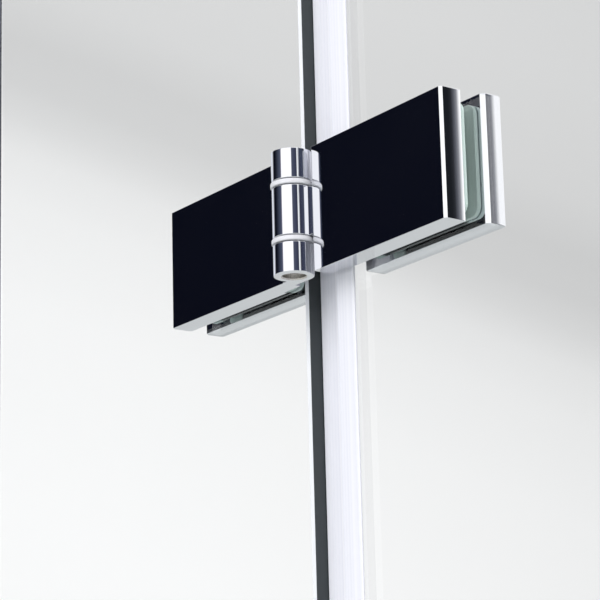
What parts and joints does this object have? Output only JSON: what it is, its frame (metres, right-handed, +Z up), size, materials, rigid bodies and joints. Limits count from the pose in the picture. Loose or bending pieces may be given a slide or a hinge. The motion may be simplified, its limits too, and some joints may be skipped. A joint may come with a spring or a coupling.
{
  "type": "shower cabin",
  "caption": "Frameless corner shower cabin with low tray, fixed glass panels and an outward opening glass door on chrome barrel hinges.",
  "frame": {"origin": "centre of the tray's underside, on the floor", "axes": "+Z up, -Y out through the door, +X to the right seen from outside; the room walls are at the tray's -X and +Y edges"},
  "size_m": [0.9, 0.9134, 2.023],
  "materials": {
    "clear_glass": "clear toughened float glass, 8 mm, polished edges",
    "clear_vinyl": "clear extruded PVC",
    "white_magnet_seal": "milky PVC with a magnet core",
    "white_nylon": "translucent white nylon",
    "hinge_gasket": "clear grey vinyl pad",
    "glazing_gasket": "grey glazing gasket",
    "polished_chrome": "polished chrome on brass",
    "stainless_steel": "stainless steel",
    "bright_aluminium": "bright anodised aluminium",
    "grey_plastic": "moulded cap",
    "white_acrylic": "white sanitary acrylic over a filled core"
  },
  "bodies": {
    "cabin": {"tray": "white_acrylic", "waste_body": "stainless_steel", "wall_profile_left": "bright_aluminium", "wall_profile_back": "bright_aluminium", "profile_gasket_left": "glazing_gasket", "profile_gasket_back": "glazing_gasket", "profile_cap_left": "grey_plastic", "profile_cap_back": "grey_plastic", "bottom_rail_front": "bright_aluminium", "bottom_rail_side": "bright_aluminium", "threshold_bar": "bright_aluminium", "fixed_panel_glass": "clear_glass", "side_panel_glass": "clear_glass", "side_magnet_seal": "white_magnet_seal", "header_bar": "polished_chrome", "header_clamp_front": "polished_chrome", "header_clamp_side": "polished_chrome", "upper_fixed_leaf": "polished_chrome", "upper_fixed_back_plate": "polished_chrome", "upper_fixed_gasket_front": "hinge_gasket", "upper_fixed_gasket_back": "hinge_gasket", "upper_fixed_screw_inner": "stainless_steel", "upper_fixed_screw_outer": "stainless_steel", "upper_pin": "stainless_steel", "upper_washer_top": "white_nylon", "upper_washer_bottom": "white_nylon", "lower_fixed_leaf": "polished_chrome", "lower_fixed_back_plate": "polished_chrome", "lower_fixed_gasket_front": "hinge_gasket", "lower_fixed_gasket_back": "hinge_gasket", "lower_fixed_screw_inner": "stainless_steel", "lower_fixed_screw_outer": "stainless_steel", "lower_pin": "stainless_steel", "lower_washer_top": "white_nylon", "lower_washer_bottom": "white_nylon"},
    "door": {"door_glass": "clear_glass", "door_hinge_seal": "clear_vinyl", "door_magnet_seal": "white_magnet_seal", "door_drip_seal": "clear_vinyl", "handle_bar": "polished_chrome", "handle_cap_top": "polished_chrome", "handle_cap_bottom": "polished_chrome", "handle_bolt_top": "stainless_steel", "handle_bolt_bottom": "stainless_steel", "upper_door_leaf": "polished_chrome", "upper_door_back_plate": "polished_chrome", "upper_door_gasket_front": "hinge_gasket", "upper_door_gasket_back": "hinge_gasket", "upper_door_screw_inner": "stainless_steel", "upper_door_screw_outer": "stainless_steel", "lower_door_leaf": "polished_chrome", "lower_door_back_plate": "polished_chrome", "lower_door_gasket_front": "hinge_gasket", "lower_door_gasket_back": "hinge_gasket", "lower_door_screw_inner": "stainless_steel", "lower_door_screw_outer": "stainless_steel"},
    "drain_cover": {"drain_cover": "polished_chrome"}
  },
  "joints": [
    {"name": "door_swing", "type": "hinge", "parent": "cabin", "child": "door", "pos_m": [-0.15, -0.4238, 1], "axis": [0, 0, -1], "range_deg": [0, 110]},
    {"name": "drain_cover_lift", "type": "slide", "parent": "cabin", "child": "drain_cover", "axis": [0, 0, 1], "range_m": [0, 0.03]}
  ]
}
